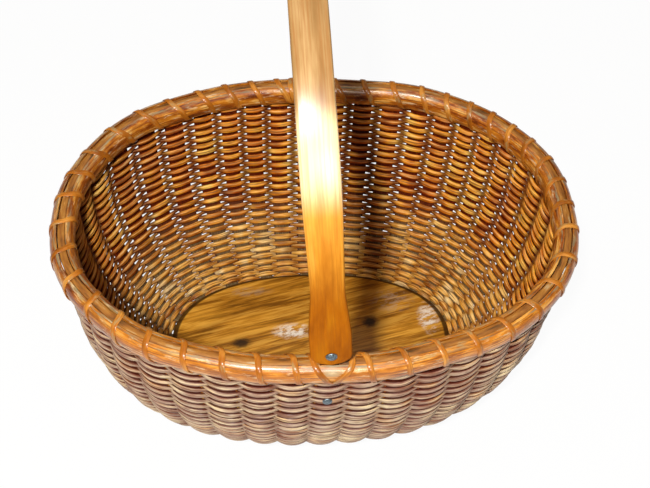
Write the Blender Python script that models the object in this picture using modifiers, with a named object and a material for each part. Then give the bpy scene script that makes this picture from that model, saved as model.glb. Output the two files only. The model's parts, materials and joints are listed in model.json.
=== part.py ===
"""Oval Nantucket basket with a swing handle, modelled piece by piece.

Metres, +Z up. The origin is the middle of the board's underside, on the ground.
The long axis of the oval lies along X. The handle hangs on two ears, one at the
front (-Y) and one at the back (+Y), and swings about the line through their rivets.
"""
from math import cos, pi, radians, sin

import bmesh
import bpy
import numpy as np
from mathutils import Matrix, Vector

# Board at the bottom
base_half_length = 0.0924
base_half_width = 0.0536
base_thickness = 0.008
base_edge_round = 0.0012
groove_depth = 0.006
oval_fullness = 2.3

# Wall: how far it leans out from the board's edge, and how high the rim stands
flare = 0.0476
rim_top = 0.144
wall_thickness = 0.0042
stave_count = 43
stave_thickness = 0.0016
stave_width_share = 0.6
wall_curve_shares = (
    (0.0, 0.0), (0.28, 0.035), (0.53, 0.12), (0.745, 0.255), (0.905, 0.45), (1.0, 0.7), (1.0, 1.0))

# The weave stands out over each stave and draws in between two staves, on both faces of the wall.
# It lies flat at the board, under the ears and from a little below the rim upwards.
weave_swell = 0.0012
weave_draw = 0.0006
weave_run_out = 0.0035

# The maker's own spacing of the staves, one stave under each ear: on the right side from the
# front to the back, then on the left side from the back to the front, the share of that side's
# staves passed and the share of that half of the rim
right_spacing_shares = (
    (0.0, 0.0), (0.182, 0.192), (0.318, 0.343), (0.409, 0.449), (0.5, 0.539), (0.591, 0.621),
    (0.727, 0.735), (0.818, 0.816), (0.909, 0.909), (1.0, 1.0))
left_spacing_shares = (
    (0.0, 0.0), (0.048, 0.047), (0.143, 0.129), (0.19, 0.172), (0.286, 0.271), (0.381, 0.378),
    (0.476, 0.465), (0.619, 0.614), (0.762, 0.76), (0.857, 0.861), (1.0, 1.0))

# Rim: two half-round hoops, a filler between them and a cane strip wound round all
hoop_height = 0.0145
outer_hoop_thickness = 0.0044
inner_hoop_thickness = 0.0042
hoop_section_shares = (
    (0.0, 0.06), (0.0, 0.94), (0.3, 1.0), (0.84, 0.84), (1.0, 0.5), (0.84, 0.16), (0.3, 0.0))
filler_height = 0.0028
filler_section_shares = ((-0.5, 0.0), (-0.5, 0.55), (-0.2, 1.0), (0.2, 1.0), (0.5, 0.55), (0.5, 0.0))
lashing_width = 0.0032
lashing_thickness = 0.0008
window_slack = 0.0007
lashing_start_count = 1

# How far along its turn the cane has come at each point of its way over the rim:
# at an ear it stays back and then crosses under the handle's end
ear_turn_shares = (0.0, 0.0, 0.0, 0.0, 0.0, 0.03, 0.3, 0.55, 0.8, 0.97)
plain_turn_shares = (0.0, 0.1, 0.27, 0.45, 0.56, 0.64, 0.72, 0.81, 0.9, 0.98)
same_place_share = 0.25

# Ears that carry the handle
ear_thickness = 0.005
ear_tail_thickness = 0.0026
ear_neck_width = 0.010
ear_tip_width = 0.007
ear_tail_drop = 0.028
eye_radius = 0.0068
pivot_above_rim = 0.0135
ear_rivet_drop = 0.021

# Handle: a bent strip, narrowed above its ends
handle_rise = 0.156
handle_thickness = 0.005
handle_width = 0.0206
handle_edge_round = 0.0011
handle_end_below_pivot = 0.0082
handle_width_shares = (
    (0.0, 1.0), (0.057, 0.99), (0.088, 0.89), (0.13, 0.755), (0.188, 0.78), (0.24, 0.83),
    (0.28, 0.835), (0.34, 0.815), (0.5, 0.815))
handle_tip_share = 0.4
handle_end_power = 2.6
handle_lean = radians(4)

# Rivets and their burrs
pivot_shank_radius = 0.0016
pivot_head_radius = 0.0029
pivot_head_height = 0.0013
pivot_tail_radius = 0.0023
pivot_tail_height = 0.0009
burr_radius = 0.0035
burr_thickness = 0.001
ear_shank_radius = 0.0013
ear_head_radius = 0.0027
ear_head_height = 0.0011
head_crown_share = 0.55

# Working clearances
clearance = 0.0003
cut_overrun = 0.002
merge_distance = 0.00003

# Fineness of the facets
facets_per_stave = 2
oval_steps = 2880
rivet_sides = 12
eye_steps = 14
handle_steps = 32
handle_end_steps = 4
crease_angle = radians(50)

# Sizes that follow from the ones above
groove_middle = base_thickness / 2
stave_slot = stave_thickness + 2 * clearance
rim_bottom = rim_top - hoop_height
hoop_gap = wall_thickness + 2 * clearance
wall_top = rim_top - filler_height - clearance
pivot_height = rim_top + pivot_above_rim
facet_count = facets_per_stave * stave_count
right_stave_count = stave_count // 2 + 1
ear_inner_face = -hoop_gap / 2 - ear_tail_thickness
ear_outer_face = ear_inner_face + ear_thickness
handle_inner_face = ear_outer_face + clearance
handle_outer_face = handle_inner_face + handle_thickness
rim_half_width = base_half_width + flare


# Helpers for the scene

def clear_scene():
    for thing in list(bpy.data.objects):
        bpy.data.objects.remove(thing, do_unlink=True)


def new_collection(name):
    group = bpy.data.collections.new(name)
    bpy.context.scene.collection.children.link(group)
    return group


clear_scene()
basket_collection = new_collection("oval_basket")
tool_collection = new_collection("cutters_and_guides")


def material(name, colour, roughness, metallic=0.0):
    made = bpy.data.materials.new(name)
    made.use_nodes = True
    shader = made.node_tree.nodes["Principled BSDF"]
    shader.inputs["Base Color"].default_value = (*colour, 1.0)
    shader.inputs["Roughness"].default_value = roughness
    shader.inputs["Metallic"].default_value = metallic
    made.diffuse_color = (*colour, 1.0)
    return made


def add_part(name, mesh, finish, parent=None, matrix=None):
    """A finished piece of the basket, in its own object."""
    piece = bpy.data.objects.new(name, mesh)
    basket_collection.objects.link(piece)
    mesh.shade_smooth()
    mesh.set_sharp_from_angle(angle=crease_angle)
    mesh.materials.clear()
    mesh.materials.append(finish)
    if matrix is not None:
        piece.matrix_world = matrix
    if parent is not None:
        piece.parent = parent
        piece.matrix_parent_inverse = parent.matrix_world.inverted()
    return piece


def add_tool(name, data):
    """A cutter or a guide: drawn as wires, and not part of the basket."""
    tool = bpy.data.objects.new(name, data)
    tool_collection.objects.link(tool)
    tool.hide_render = True
    tool.display_type = "WIRE"
    return tool


def evaluated_mesh(thing):
    graph = bpy.context.evaluated_depsgraph_get()
    return bpy.data.meshes.new_from_object(thing.evaluated_get(graph))


def tidy_mesh(mesh):
    """Weld a converted curve's caps and turn every face outwards."""
    work = bmesh.new()
    work.from_mesh(mesh)
    bmesh.ops.remove_doubles(work, verts=work.verts, dist=merge_distance)
    bmesh.ops.recalc_face_normals(work, faces=work.faces)
    work.to_mesh(mesh)
    work.free()
    return mesh


def curve_to_mesh(curve_object):
    mesh = evaluated_mesh(curve_object)
    mesh.transform(curve_object.matrix_world)
    bpy.data.objects.remove(curve_object, do_unlink=True)
    return tidy_mesh(mesh)


def poly_curve(name, points, cyclic, flat):
    """A curve of straight pieces; flat curves are outlines, the others are paths."""
    curve = bpy.data.curves.new(name, "CURVE")
    curve.dimensions = "2D" if flat else "3D"
    curve.twist_mode = "Z_UP"
    spline = curve.splines.new("POLY")
    spline.points.add(len(points) - 1)
    for point, place_here in zip(spline.points, points):
        point.co = (*place_here, 1.0) if len(place_here) == 3 else (*place_here, 0.0, 1.0)
    spline.use_cyclic_u = cyclic
    return curve


def cut(piece, tool):
    step = piece.modifiers.new("cut_" + tool.name, "BOOLEAN")
    step.operation = "DIFFERENCE"
    step.solver = "EXACT"
    step.object = tool


def round_edges(piece, width):
    """A narrow chamfer on the piece's sharp edges."""
    step = piece.modifiers.new("rounded edges", "BEVEL")
    step.width = width
    step.segments = 1
    step.limit_method = "ANGLE"
    step.angle_limit = crease_angle


# The oval: everything round the basket is measured along the rim's middle line, by a counted
# distance in which every stave takes one pitch

def walk_oval():
    turn = np.linspace(0, 2 * pi, oval_steps + 1) - pi / 2
    across, along = np.cos(turn), np.sin(turn)
    power = 2 / oval_fullness
    x = base_half_length * np.sign(across) * np.abs(across) ** power
    y = base_half_width * np.sign(along) * np.abs(along) ** power
    normal_x = np.sign(across) * np.abs(across) ** (2 - power) / base_half_length
    normal_y = np.sign(along) * np.abs(along) ** (2 - power) / base_half_width
    size = np.hypot(normal_x, normal_y)
    normal_x, normal_y = normal_x / size, normal_y / size
    rim_x, rim_y = x + flare * normal_x, y + flare * normal_y
    steps = np.hypot(np.diff(rim_x), np.diff(rim_y))
    run = np.concatenate(([0.0], np.cumsum(steps)))
    return run, x, y, normal_x, normal_y


def count_staves(run):
    """The same places, recounted so that each stave takes one equal pitch."""
    right_part = right_stave_count / stave_count
    counted = [part * right_part for part, _ in right_spacing_shares]
    taken = [part / 2 for _, part in right_spacing_shares]
    counted += [right_part + part * (1 - right_part) for part, _ in left_spacing_shares]
    taken += [(1 + part) / 2 for _, part in left_spacing_shares]
    return run[-1] * np.interp(run / run[-1], taken, counted)


oval_run, oval_x, oval_y, oval_normal_x, oval_normal_y = walk_oval()
oval_distance = count_staves(oval_run)
rim_length = float(oval_run[-1])
stave_pitch = rim_length / stave_count
facet_pitch = rim_length / facet_count


def counted(run):
    """The counted distance of a place given by its real run along the rim."""
    return float(np.interp(run, oval_run, oval_distance))


def oval_frame(distance):
    """Foot on the board's edge and outward direction at a rim distance."""
    here = distance % rim_length
    foot = Vector((float(np.interp(here, oval_distance, oval_x)),
                   float(np.interp(here, oval_distance, oval_y)), 0.0))
    outward = Vector((float(np.interp(here, oval_distance, oval_normal_x)),
                      float(np.interp(here, oval_distance, oval_normal_y)), 0.0)).normalized()
    return foot, outward


def place(distance, out, up):
    """A point at a rim distance, a distance out from the board's edge and a height."""
    foot, outward = oval_frame(distance)
    return foot + outward * out + Vector((0.0, 0.0, up))


def upright_matrix(distance, out, up):
    """Local X runs back along the rim, local Y points outwards and local Z stays up."""
    _, outward = oval_frame(distance)
    backward = Vector((outward.y, -outward.x, 0.0))
    turn = Matrix((backward, outward, Vector((0, 0, 1)))).transposed().to_4x4()
    return Matrix.Translation(place(distance, out, up)) @ turn


def sweep(name, section, distances=None):
    """Carry a closed section of (out from the rim line, up) points round the oval."""
    closed = distances is None
    if closed:
        distances = [index * facet_pitch for index in range(facet_count)]
    guide = add_tool(name + "_section", poly_curve(name + "_section", section, True, True))
    path = poly_curve(name + "_path", [place(d, flare, 0.0) for d in distances], closed, False)
    path.bevel_mode = "OBJECT"
    path.bevel_object = guide
    path.use_fill_caps = not closed
    path_object = add_tool(name + "_path", path)
    mesh = curve_to_mesh(path_object)
    bpy.data.objects.remove(guide, do_unlink=True)
    return mesh


# The wall's middle line, seen in section

def wall_curve():
    """Points (out from the board's edge, up) from the board to the wall's top."""
    reach = flare - clearance
    rise = wall_top - groove_middle
    return [(clearance + reach * out, groove_middle + rise * up) for out, up in wall_curve_shares]


def offset_line(points, distance):
    """The same line moved to its left, mitred at corners and cut upright at its first point."""
    moved = []
    for index, point in enumerate(points):
        before = points[max(index - 1, 0)]
        after = points[min(index + 1, len(points) - 1)]
        first = Vector(point) - Vector(before) if index > 0 else Vector(after) - Vector(point)
        second = Vector(after) - Vector(point) if index < len(points) - 1 else first
        first.normalize()
        second.normalize()
        left_first = Vector((-first.y, first.x))
        left_second = Vector((-second.y, second.x))
        middle = (left_first + left_second).normalized() if index > 0 else Vector((0, 1))
        moved.append(Vector(point) + middle * (distance / middle.dot(left_first)))
    return moved


def strip_object(name, rows, thickness, register):
    """A strip whose rows are pairs of left and right points, given its thickness by Solidify."""
    grid = bmesh.new()
    bmesh.ops.create_grid(grid, x_segments=1, y_segments=len(rows) - 1, size=1.0)
    ordered = sorted(grid.verts, key=lambda v: (round(v.co.y, 6), v.co.x))
    for vertex, target in zip(ordered, [point for row in rows for point in row]):
        vertex.co = target
    mesh = bpy.data.meshes.new(name)
    grid.to_mesh(mesh)
    grid.free()
    strip = register(name, mesh)
    shell = strip.modifiers.new("thickness", "SOLIDIFY")
    shell.thickness = thickness
    shell.offset = 0
    shell.use_even_offset = True
    return strip


def stave_line():
    """The staves start inside the board's groove and follow the wall to its top."""
    tip = (clearance - groove_depth, groove_middle)
    return [tip] + wall_curve()


def stave_rows(index, widening, top_run):
    """Left and right edges of one stave at each point of its line."""
    middle = index * stave_pitch
    rows = []
    line = stave_line()
    line[-1] = (line[-1][0], line[-1][1] + top_run)
    for out, up in line:
        left = place(middle - stave_pitch / 2, out, up)
        right = place(middle + stave_pitch / 2, out, up)
        across = right - left
        centre = (left + right) / 2
        sag = place(middle, out, up) - centre
        half = across * (stave_width_share / 2) + across.normalized() * widening
        rows.append((centre + sag - half, centre + sag + half))
    return rows


def make_staves(finish):
    staves = []
    for index in range(stave_count):
        name = "stave_%02d" % (index + 1)
        rows = stave_rows(index, 0.0, 0.0)
        staves.append(strip_object(name, rows, stave_thickness,
                                   lambda n, mesh: add_part(n, mesh, finish)))
    return staves


def stave_channels():
    """One cutter that holds every stave's channel through the wall."""
    joined = bmesh.new()
    for index in range(stave_count):
        rows = stave_rows(index, clearance, cut_overrun)
        one = strip_object("channel", rows, stave_slot, add_tool)
        mesh = evaluated_mesh(one)
        joined.from_mesh(mesh)
        bpy.data.objects.remove(one, do_unlink=True)
    data = bpy.data.meshes.new("stave_channels")
    joined.to_mesh(data)
    joined.free()
    return add_tool("stave_channels", data)


def box_cutter(name, matrices, size):
    """One cutter with a box of the same size at each place."""
    boxes = bmesh.new()
    for matrix in matrices:
        bmesh.ops.create_cube(boxes, size=1.0, matrix=matrix @ Matrix.Diagonal((*size, 1.0)))
    data = bpy.data.meshes.new(name)
    boxes.to_mesh(data)
    boxes.free()
    return add_tool(name, data)


def round_cutter(name, matrices, radius, length):
    """One cutter with a round bar along local Y at each place."""
    bars = bmesh.new()
    lay_down = Matrix.Rotation(radians(90), 4, "X")
    for matrix in matrices:
        bmesh.ops.create_cone(bars, cap_ends=True, segments=rivet_sides, radius1=radius,
                              radius2=radius, depth=length, matrix=matrix @ lay_down)
    data = bpy.data.meshes.new(name)
    bars.to_mesh(data)
    bars.free()
    return add_tool(name, data)


# Distances along the rim

front = 0.0
back = counted(rim_length / 2)


def ear_matrix(distance, up):
    return upright_matrix(distance, flare, up)


def same_place(first, second):
    return abs(first - second) < stave_pitch * same_place_share


def lashing_gaps():
    """Rim distances where the cane passes through the wall, in the middle of every gap."""
    return [(index + 0.5) * stave_pitch for index in range(stave_count)]


# The pieces

def make_base(finish):
    rim_distances = [index * facet_pitch for index in range(facet_count)]
    outline = [place(d, 0.0, 0.0).xy for d in rim_distances]
    curve = poly_curve("base_outline", outline, True, True)
    curve.fill_mode = "BOTH"
    curve.extrude = base_thickness / 2
    board = add_tool("base_outline", curve)
    board.location.z = base_thickness / 2
    bpy.context.view_layer.update()
    base = add_part("base_plate", curve_to_mesh(board), finish)
    round_edges(base, base_edge_round)
    half_slot = stave_slot / 2
    section = [(-flare - groove_depth, groove_middle - half_slot),
               (-flare + cut_overrun, groove_middle - half_slot),
               (-flare + cut_overrun, groove_middle + half_slot),
               (-flare - groove_depth, groove_middle + half_slot)]
    cut(base, add_tool("groove_ring", sweep("groove", section)))
    return base


def wall_section(growth):
    """Section of the wall, with both faces moved out by the growth where the weave isn't flat."""
    places = wall_curve()
    places.insert(-1, (flare, rim_bottom - weave_run_out))
    line = [Vector((out - flare, up)) for out, up in places]
    faces = []
    for side in (-1, 1):
        flat = offset_line(line, side * wall_thickness / 2)
        grown = offset_line(line, side * (wall_thickness / 2 + growth))
        faces.append(flat[:1] + grown[1:-2] + flat[-2:])
    outside, inside = faces
    return outside + inside[::-1]


def shape_weave(mesh):
    """Move the swept wall's points out over each stave and in between two staves."""
    plain = wall_section(0.0)
    over_stave = wall_section(weave_swell)
    between_staves = wall_section(-weave_draw)
    for index, vertex in enumerate(mesh.vertices):
        step, corner = divmod(index, len(plain))
        distance = step * facet_pitch
        under_ear = same_place(distance, front) or same_place(distance, back)
        section = between_staves if step % facets_per_stave else over_stave
        shift = Vector((0, 0)) if under_ear else section[corner] - plain[corner]
        _, outward = oval_frame(distance)
        vertex.co += outward * shift.x + Vector((0, 0, shift.y))


def make_wall(finish):
    mesh = sweep("wall", wall_section(0.0))
    shape_weave(mesh)
    wall = add_part("woven_wall", mesh, finish)
    cut(wall, stave_channels())
    window = (lashing_width + 2 * clearance + window_slack, wall_thickness + 2 * cut_overrun,
              lashing_thickness + 2 * clearance + window_slack)
    middle = rim_bottom - clearance - lashing_thickness / 2
    windows = [upright_matrix(gap, flare, middle) for gap in lashing_gaps()]
    cut(wall, box_cutter("lashing_windows", windows, window))
    cut(wall, rivet_holes())
    return wall


def rivet_holes():
    height = rim_bottom - ear_rivet_drop
    length = wall_thickness + ear_tail_thickness * 2 + 2 * cut_overrun
    places = [ear_matrix(front, height), ear_matrix(back, height)]
    return round_cutter("ear_rivet_holes", places, ear_shank_radius + clearance, length)


def hoop_section(thickness, side):
    """Half-round section of a hoop on the outer (+1) or inner (-1) side of the wall."""
    return [(side * (hoop_gap / 2 + thickness * out), rim_bottom + hoop_height * up)
            for out, up in hoop_section_shares]


def make_outer_hoop(finish):
    return add_part("rim_outer_hoop", sweep("outer_hoop", hoop_section(outer_hoop_thickness, 1)),
                    finish)


def make_inner_hoop(finish):
    hoop = add_part("rim_inner_hoop", sweep("inner_hoop", hoop_section(inner_hoop_thickness, -1)),
                    finish)
    depth = ear_tail_thickness + clearance + cut_overrun
    size = (ear_neck_width + 2 * clearance, depth, hoop_height + 2 * cut_overrun)
    shift = Matrix.Translation((0, cut_overrun - hoop_gap / 2 - depth / 2, 0))
    places = [ear_matrix(d, rim_bottom + hoop_height / 2) @ shift for d in (front, back)]
    cut(hoop, box_cutter("ear_notches", places, size))
    return hoop


def make_filler(name, start_run, finish):
    """Half of the strip that covers the stave ends, from one ear to the other."""
    end_gap = ear_neck_width / 2 + clearance
    first = counted(start_run + end_gap)
    last = counted(start_run + rim_length / 2 - end_gap)
    inner = [index * facet_pitch for index in range(2 * facet_count)
             if first + clearance < index * facet_pitch < last - clearance]
    section = [(wall_thickness * out, wall_top + clearance + filler_height * up)
               for out, up in filler_section_shares]
    return add_part(name, sweep(name, section, [first] + inner + [last]), finish)


def loop_points():
    """Section (out, up) of the cane's middle as it goes round the rim, from the inside bottom."""
    spread = clearance + lashing_thickness / 2
    inner = [Vector((-x, y)) for x, y in hoop_section(inner_hoop_thickness, 1)]
    outer = [Vector(point) for point in hoop_section(outer_hoop_thickness, 1)]
    hull = inner[:1:-1] + outer[2:]
    points = []
    for index, point in enumerate(hull):
        before = hull[index - 1]
        after = hull[(index + 1) % len(hull)]
        first = (point - before).normalized()
        second = (after - point).normalized()
        out_first = Vector((-first.y, first.x))
        out_second = Vector((-second.y, second.x))
        middle = (out_first + out_second).normalized()
        points.append((point + middle * (spread / middle.dot(out_first)), middle))
    return points


def lashing_path():
    """Middle points and outward directions of the whole strip, gap by gap round the rim."""
    gaps = lashing_gaps()
    gaps = gaps[lashing_start_count:] + [gap + rim_length for gap in gaps[:lashing_start_count + 1]]
    loop = loop_points()
    path = []
    for gap, following in zip(gaps, gaps[1:]):
        advance = following - gap
        middle = (gap + following) / 2
        at_ear = same_place(middle, back) or same_place(middle, rim_length)
        shares = ear_turn_shares if at_ear else plain_turn_shares
        for (point, normal), share in zip(loop, shares):
            distance = gap + advance * share
            _, outward = oval_frame(distance)
            spot = place(distance, flare + point.x, point.y)
            path.append((spot, outward * normal.x + Vector((0, 0, normal.y))))
    return path


def make_lashing(finish):
    path = lashing_path()
    rows = []
    for index, (spot, normal) in enumerate(path):
        before = path[max(index - 1, 0)][0]
        after = path[min(index + 1, len(path) - 1)][0]
        run = (after - before).normalized()
        side = normal.cross(run).normalized() * (lashing_width / 2)
        rows.append((spot - side, spot + side))
    points_a_turn = len(loop_points())
    least = min((path[i][0] - path[j][0]).length
                for i in range(len(path))
                for j in range(i + points_a_turn // 2, min(i + 2 * points_a_turn, len(path))))
    print("lashing: least gap between turns %.2f mm" % (1000 * (least - lashing_width)))
    return strip_object("rim_lashing", rows, lashing_thickness,
                        lambda n, mesh: add_part(n, mesh, finish))


def ear_outline():
    """Front view of an ear, its origin at the pivot: eye, neck and a tapering tail."""
    neck = ear_neck_width / 2
    tip = ear_tip_width / 2
    tail_end = rim_bottom - ear_tail_drop - pivot_height
    neck_angle = np.arcsin(neck / eye_radius)
    start, stop = -pi / 2 + neck_angle, 3 * pi / 2 - neck_angle
    eye = [(eye_radius * cos(a), eye_radius * sin(a)) for a in np.linspace(start, stop, eye_steps)]
    neck_end = rim_bottom - pivot_height
    tail = [(-neck, neck_end), (-tip, tail_end + tip), (-tip / 2, tail_end), (tip / 2, tail_end),
            (tip, tail_end + tip), (neck, neck_end)]
    return eye + tail


def make_ear(name, distance, finish):
    curve = poly_curve(name + "_outline", ear_outline(), True, True)
    curve.fill_mode = "BOTH"
    curve.extrude = ear_thickness / 2
    flat = add_tool(name + "_outline", curve)
    stand = Matrix.Translation((0, ear_inner_face + ear_thickness / 2, 0))
    flat.matrix_world = stand @ Matrix.Rotation(radians(90), 4, "X")
    bpy.context.view_layer.update()
    where = ear_matrix(distance, pivot_height)
    ear = add_part(name, curve_to_mesh(flat), finish, matrix=where)
    shoulder = wall_top + clearance
    tail_room = ear_thickness - ear_tail_thickness + cut_overrun
    cut_bottom = rim_bottom - ear_tail_drop - cut_overrun
    size = (ear_neck_width + 2 * cut_overrun, tail_room, shoulder - cut_bottom)
    rest = Matrix.Translation((0, ear_inner_face + ear_tail_thickness + tail_room / 2,
                               (shoulder + cut_bottom) / 2 - pivot_height))
    cut(ear, box_cutter(name + "_shoulder", [where @ rest], size))
    cut(ear, round_cutter(name + "_pivot_hole", [where], pivot_shank_radius + clearance,
                          2 * ear_thickness + 2 * cut_overrun))
    cut(ear, round_cutter(name + "_rivet_hole", [ear_matrix(distance, rim_bottom - ear_rivet_drop)],
                          ear_shank_radius + clearance, 2 * ear_thickness + 2 * cut_overrun))
    return ear


def handle_line():
    """Middle line of the hoop in the YZ plane, from one lower end over the top to the other."""
    half_span = rim_half_width + (handle_inner_face + handle_outer_face) / 2
    leg_top = pivot_height + handle_rise - handle_thickness / 2 - half_span
    low = pivot_height - handle_end_below_pivot
    leg = leg_top - low
    arc = pi * half_span
    total = 2 * leg + arc
    stops = [handle_end_below_pivot * sin(pi / 2 * i / handle_end_steps)
             for i in range(handle_end_steps)]
    stops += list(np.linspace(handle_end_below_pivot, total / 2, handle_steps // 2))
    stops += [total - stop for stop in stops[-2::-1]]
    points = []
    for stop in stops:
        if stop < leg:
            spot = (-half_span, low + stop)
        elif stop > total - leg:
            spot = (half_span, low + total - stop)
        else:
            angle = pi - pi * (stop - leg) / arc
            spot = (half_span * cos(angle), leg_top + half_span * sin(angle))
        points.append((stop, total, spot))
    return points


def handle_half_width(stop, total):
    """Half the strip's width: a table of shares, drawn in to a rounded end."""
    from_end = min(stop, total - stop)
    shares = [share for share, _ in handle_width_shares]
    widths = [width for _, width in handle_width_shares]
    half = handle_width / 2 * float(np.interp(from_end / total, shares, widths))
    inset = max(0.0, 1 - from_end / handle_end_below_pivot)
    return half * max(1 - inset ** handle_end_power, 0.0) ** 0.5


def make_handle(finish, swing):
    rows = []
    tip_half = handle_width / 2 * handle_tip_share
    for stop, total, (y, z) in handle_line():
        half = max(handle_half_width(stop, total), tip_half)
        rows.append((Vector((-half, y, z)), Vector((half, y, z))))
    handle = strip_object("handle", rows, handle_thickness,
                          lambda n, mesh: add_part(n, mesh, finish, parent=swing))
    round_edges(handle, handle_edge_round)
    holes = [ear_matrix(d, pivot_height) for d in (front, back)]
    cut(handle, round_cutter("handle_pivot_holes", holes, pivot_shank_radius + clearance,
                             2 * handle_outer_face + 2 * handle_thickness))
    return handle


def turned(name, profile, matrix, finish):
    """A round piece turned about local Y from a profile of (radius, along) points."""
    mesh = bpy.data.meshes.new(name)
    outline = [(radius, along, 0.0) for radius, along in profile]
    mesh.from_pydata(outline, [(i, i + 1) for i in range(len(outline) - 1)], [])
    piece = add_part(name, mesh, finish, matrix=matrix)
    screw = piece.modifiers.new("turned", "SCREW")
    screw.axis = "Y"
    screw.angle = 2 * pi
    screw.steps = rivet_sides
    screw.render_steps = rivet_sides
    screw.use_merge_vertices = True
    screw.merge_threshold = merge_distance
    return piece


def rivet_profile(tail_face, tail_height, tail_radius, head_face, head_height, head_radius, shank):
    """From the outer head's crown down its side and along the shank to the inner end."""
    return [(0.0, head_face + head_height),
            (head_radius * head_crown_share, head_face + head_height),
            (head_radius, head_face),
            (shank, head_face),
            (shank, tail_face),
            (tail_radius, tail_face),
            (tail_radius * head_crown_share, tail_face - tail_height),
            (0.0, tail_face - tail_height)]


def make_pivot(side, distance, finish):
    where = ear_matrix(distance, pivot_height)
    burr_outer = ear_inner_face - clearance
    burr_inner = burr_outer - burr_thickness
    profile = rivet_profile(burr_inner - clearance, pivot_tail_height, pivot_tail_radius,
                            handle_outer_face + clearance, pivot_head_height, pivot_head_radius,
                            pivot_shank_radius)
    turned("handle_rivet_" + side, profile, where, finish)
    bore = pivot_shank_radius + clearance
    ring = [(bore, burr_outer), (burr_radius, burr_outer), (burr_radius, burr_inner),
            (bore, burr_inner), (bore, burr_outer)]
    turned("handle_burr_" + side, ring, where, finish)


def make_ear_rivet(side, distance, finish):
    where = ear_matrix(distance, rim_bottom - ear_rivet_drop)
    profile = rivet_profile(ear_inner_face - clearance, ear_head_height, ear_head_radius,
                            wall_thickness / 2 + clearance, ear_head_height, ear_head_radius,
                            ear_shank_radius)
    turned("ear_rivet_" + side, profile, where, finish)


def build():
    oak = material("board_oak", (0.30, 0.15, 0.06), 0.55)
    weave = material("weave_cane", (0.45, 0.24, 0.11), 0.5)
    stave_wood = material("stave_hickory", (0.42, 0.22, 0.10), 0.6)
    hoop_wood = material("hoop_wood", (0.45, 0.17, 0.05), 0.35)
    filler_cane = material("filler_cane", (0.38, 0.16, 0.08), 0.45)
    lashing_cane = material("lashing_cane", (0.75, 0.30, 0.06), 0.35)
    handle_wood = material("handle_wood", (0.55, 0.22, 0.07), 0.45)
    ear_wood = material("ear_wood", (0.40, 0.18, 0.07), 0.5)
    iron = material("rivet_iron", (0.45, 0.47, 0.48), 0.4, 1.0)

    make_base(oak)
    make_wall(weave)
    staves = make_staves(stave_wood)
    for index in (0, right_stave_count):
        cut(staves[index], bpy.data.objects["ear_rivet_holes"])
    make_outer_hoop(hoop_wood)
    make_inner_hoop(hoop_wood)
    make_filler("rim_filler_right", 0.0, filler_cane)
    make_filler("rim_filler_left", rim_length / 2, filler_cane)
    make_lashing(lashing_cane)
    swing = bpy.data.objects.new("handle_swing_axis", None)
    basket_collection.objects.link(swing)
    swing.location.z = pivot_height
    bpy.context.view_layer.update()
    make_handle(handle_wood, swing)
    swing.rotation_euler.y = -handle_lean
    for side, distance in (("front", front), ("back", back)):
        make_ear("ear_" + side, distance, ear_wood)
        make_pivot(side, distance, iron)
        make_ear_rivet(side, distance, iron)
    print("rim length %.1f mm, stave pitch %.2f mm" % (1000 * rim_length, 1000 * stave_pitch))


build()
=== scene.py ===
# %% [markdown]
# # An oval lightship basket with a swing handle
#
# The basket is built the way its maker builds it. A wooden board carries thin staves in a groove
# round its edge, cane is woven through the staves, two half-round hoops close the rim, a cane strip
# is wound round the hoops, and a bent wooden handle swings on two ears.
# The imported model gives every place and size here. This script makes the surfaces that a visitor
# sees: each strand of cane, each stave, the grain of the wood and its wear.

import json
from math import cos, pi, radians, sin

import bpy
import numpy as np
from mathutils import Matrix, Vector


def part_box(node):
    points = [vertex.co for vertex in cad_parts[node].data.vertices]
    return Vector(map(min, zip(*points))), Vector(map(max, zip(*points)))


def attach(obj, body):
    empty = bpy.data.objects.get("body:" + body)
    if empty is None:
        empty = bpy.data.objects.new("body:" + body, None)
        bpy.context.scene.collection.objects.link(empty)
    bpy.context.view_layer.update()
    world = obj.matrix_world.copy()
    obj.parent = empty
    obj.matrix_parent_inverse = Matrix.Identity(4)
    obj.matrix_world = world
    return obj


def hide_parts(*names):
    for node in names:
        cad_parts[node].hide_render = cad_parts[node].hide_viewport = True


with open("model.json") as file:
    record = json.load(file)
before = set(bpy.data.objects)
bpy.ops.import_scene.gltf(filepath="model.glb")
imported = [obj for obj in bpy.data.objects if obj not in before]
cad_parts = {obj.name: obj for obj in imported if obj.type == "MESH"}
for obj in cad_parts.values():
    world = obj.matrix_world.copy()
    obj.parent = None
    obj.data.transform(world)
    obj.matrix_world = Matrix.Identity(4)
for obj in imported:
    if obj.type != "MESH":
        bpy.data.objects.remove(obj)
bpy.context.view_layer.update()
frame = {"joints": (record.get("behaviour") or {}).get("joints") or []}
bpy.ops.object.select_all(action="DESELECT")

# %% [markdown]
# ## Camera
#
# The photograph looks down into the basket from the front. The camera is described as a
# photographer would: how high it looks down, how far it is turned and tilted, how far away it
# stands, and the point that it looks at, on the plane of the rim.

# %% Camera
rim_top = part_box("rim_outer_hoop")[1].z
camera_elevation = radians(51.65)
camera_turn = radians(-6.15)
camera_roll = radians(3.21)
camera_distance = 0.541
look_at = Vector((0.0024, -0.0272, rim_top))
photo_width = 650
lens_in_pixels = 1000
sensor_width = 36.0

away = Vector((sin(camera_turn) * cos(camera_elevation),
               -cos(camera_turn) * cos(camera_elevation), sin(camera_elevation)))
level = Vector((cos(camera_turn), sin(camera_turn), 0.0))
over = away.cross(level)
camera_x = level * cos(camera_roll) + over * sin(camera_roll)
camera_y = over * cos(camera_roll) - level * sin(camera_roll)
stance = Matrix((camera_x, camera_y, away)).transposed().to_4x4()

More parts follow.
